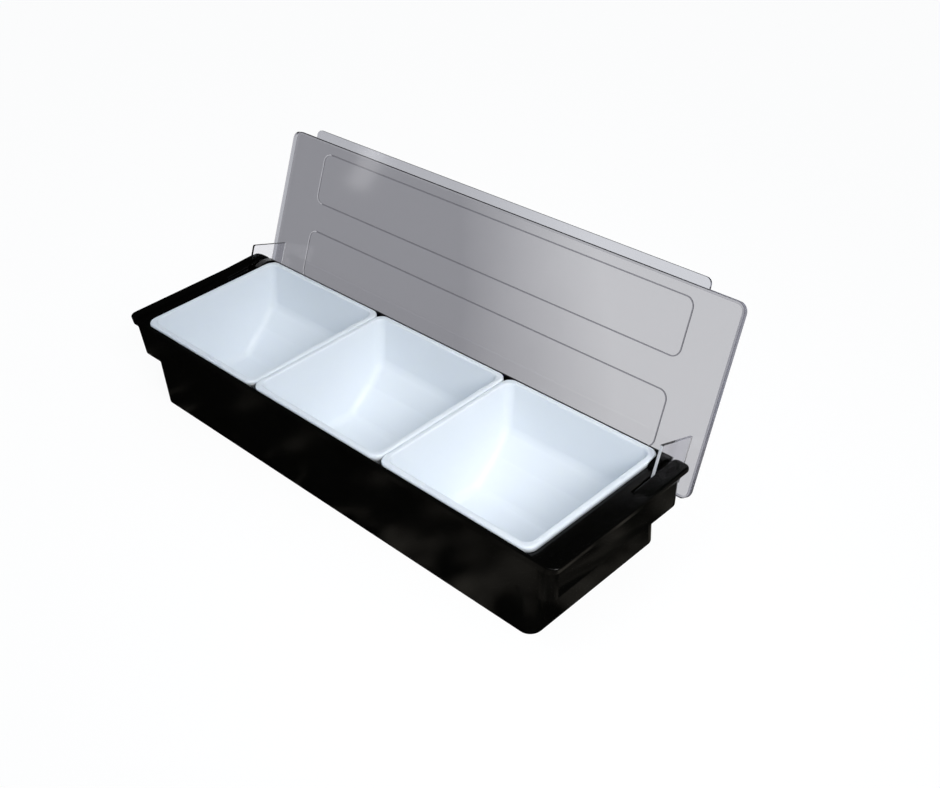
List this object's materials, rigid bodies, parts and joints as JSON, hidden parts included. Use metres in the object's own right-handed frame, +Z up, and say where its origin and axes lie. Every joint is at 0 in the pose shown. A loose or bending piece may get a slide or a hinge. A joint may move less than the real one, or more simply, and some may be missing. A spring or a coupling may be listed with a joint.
{
  "type": "bar garnish tray",
  "caption": "Long stepped bar garnish tray with lift-out bowls in a row and a clear hinged lid that leans back behind it.",
  "frame": {"origin": "centre of the underside of the base, below the middle of the row of inserts", "axes": "+X along the row of inserts, the longest extent; +Y towards the hinge and the open lid; +Z up"},
  "size_m": [0.5, 0.2087, 0.1899],
  "materials": {
    "base_plastic": "glossy moulded",
    "insert_plastic": "glossy moulded",
    "lid_plastic": "clear, lightly smoked moulded"
  },
  "bodies": {
    "base": {"base_tray": "base_plastic"},
    "left_insert": {"insert_left": "insert_plastic"},
    "middle_insert": {"insert_middle": "insert_plastic"},
    "right_insert": {"insert_right": "insert_plastic"},
    "lid": {"lid": "lid_plastic"}
  },
  "joints": [
    {"name": "lid_hinge", "type": "hinge", "parent": "base", "child": "lid", "pos_m": [0, 0.0623, 0.0661], "axis": [1, 0, 0], "range_deg": [0, 113.5]},
    {"name": "left_insert_lift", "type": "slide", "parent": "base", "child": "left_insert", "axis": [0, 0, 1], "range_m": [0, 0.0008]},
    {"name": "middle_insert_lift", "type": "slide", "parent": "base", "child": "middle_insert", "axis": [0, 0, 1], "range_m": [0, 0.0008]},
    {"name": "right_insert_lift", "type": "slide", "parent": "base", "child": "right_insert", "axis": [0, 0, 1], "range_m": [0, 0.0008]}
  ]
}
